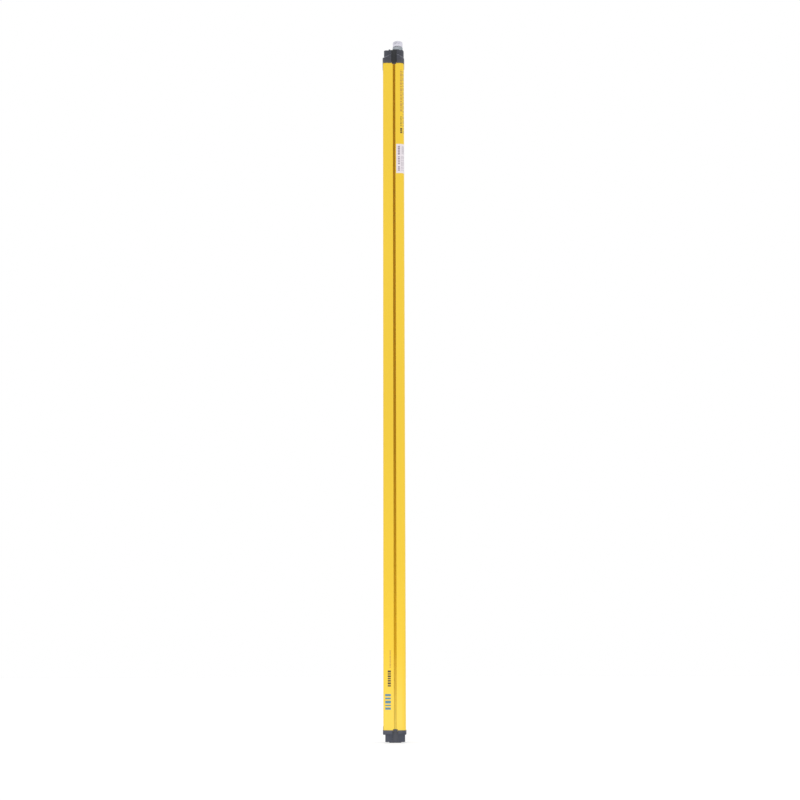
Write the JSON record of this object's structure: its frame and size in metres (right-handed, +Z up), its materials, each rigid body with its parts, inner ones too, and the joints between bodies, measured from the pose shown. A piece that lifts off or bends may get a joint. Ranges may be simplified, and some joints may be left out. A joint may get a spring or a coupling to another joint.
{
  "type": "safety light curtain",
  "caption": "Tall slim safety light curtain bar: yellow extruded housing with side mounting slots, dark front window, black end caps and a round threaded plug socket on top.",
  "frame": {"origin": "middle of the foot, on the outer face of the bottom cap", "axes": "+Z up along the bar to the connector end, -Y out of the optical front window, +X and -X out of the side faces with the mounting slots"},
  "size_m": [0.052, 0.0556, 1.7636],
  "materials": {
    "housing_paint": "satin powder coat, safety yellow",
    "window_pane": "dark tinted acrylic, polished",
    "seal_rubber": "matte",
    "gasket_rubber": "matte",
    "cap_plastic": "fine textured moulding",
    "screw_steel": "zinc plated",
    "connector_metal": "nickel plated, satin",
    "insert_plastic": "matte",
    "contact_metal": "gold flashed",
    "diode_resin": "polished resin",
    "plug_plastic": "matte",
    "circuit_board": "solder resist",
    "loom_jacket": "matte",
    "display_clear": "smoked, polished",
    "display_block": "satin",
    "led_resin": "frosted",
    "pad_foam": "cellular foam",
    "label_film": "satin film",
    "carrier_plastic": "light absorbing, matte",
    "lens_clear": "polished"
  },
  "bodies": {
    "root": {"board_spacers": "plug_plastic", "bottom_cap": "cap_plastic", "bottom_cap_screws": "screw_steel", "bottom_gasket": "gasket_rubber", "chain_pad": "pad_foam", "connector_contacts": "contact_metal", "connector_insert": "insert_plastic", "connector_loom": "loom_jacket", "connector_nut": "connector_metal", "connector_seal": "seal_rubber", "connector_shell": "connector_metal", "control_board": "circuit_board", "display_board": "circuit_board", "display_lens": "display_clear", "display_module": "display_block", "earth_terminal": "contact_metal", "front_window": "window_pane", "housing_profile": "housing_paint", "infrared_diodes": "diode_resin", "label_sticker": "label_film", "lens_strip_01": "lens_clear", "lens_strip_02": "lens_clear", "lens_strip_03": "lens_clear", "lens_strip_04": "lens_clear", "lens_strip_05": "lens_clear", "lens_strip_06": "lens_clear", "lens_strip_07": "lens_clear", "lens_strip_08": "lens_clear", "lens_strip_09": "lens_clear", "lens_strip_10": "lens_clear", "lens_strip_11": "lens_clear", "module_plugs": "plug_plastic", "optics_board_01": "circuit_board", "optics_board_02": "circuit_board", "optics_board_03": "circuit_board", "optics_board_04": "circuit_board", "optics_board_05": "circuit_board", "optics_board_06": "circuit_board", "optics_board_07": "circuit_board", "optics_board_08": "circuit_board", "optics_board_09": "circuit_board", "optics_board_10": "circuit_board", "optics_board_11": "circuit_board", "optics_carrier_01": "carrier_plastic", "optics_carrier_02": "carrier_plastic", "optics_carrier_03": "carrier_plastic", "optics_carrier_04": "carrier_plastic", "optics_carrier_05": "carrier_plastic", "optics_carrier_06": "carrier_plastic", "optics_carrier_07": "carrier_plastic", "optics_carrier_08": "carrier_plastic", "optics_carrier_09": "carrier_plastic", "optics_carrier_10": "carrier_plastic", "optics_carrier_11": "carrier_plastic", "status_leds": "led_resin", "top_cap": "cap_plastic", "top_cap_screws": "screw_steel", "top_gasket": "gasket_rubber", "window_seal_left": "seal_rubber", "window_seal_right": "seal_rubber"}
  },
  "joints": []
}
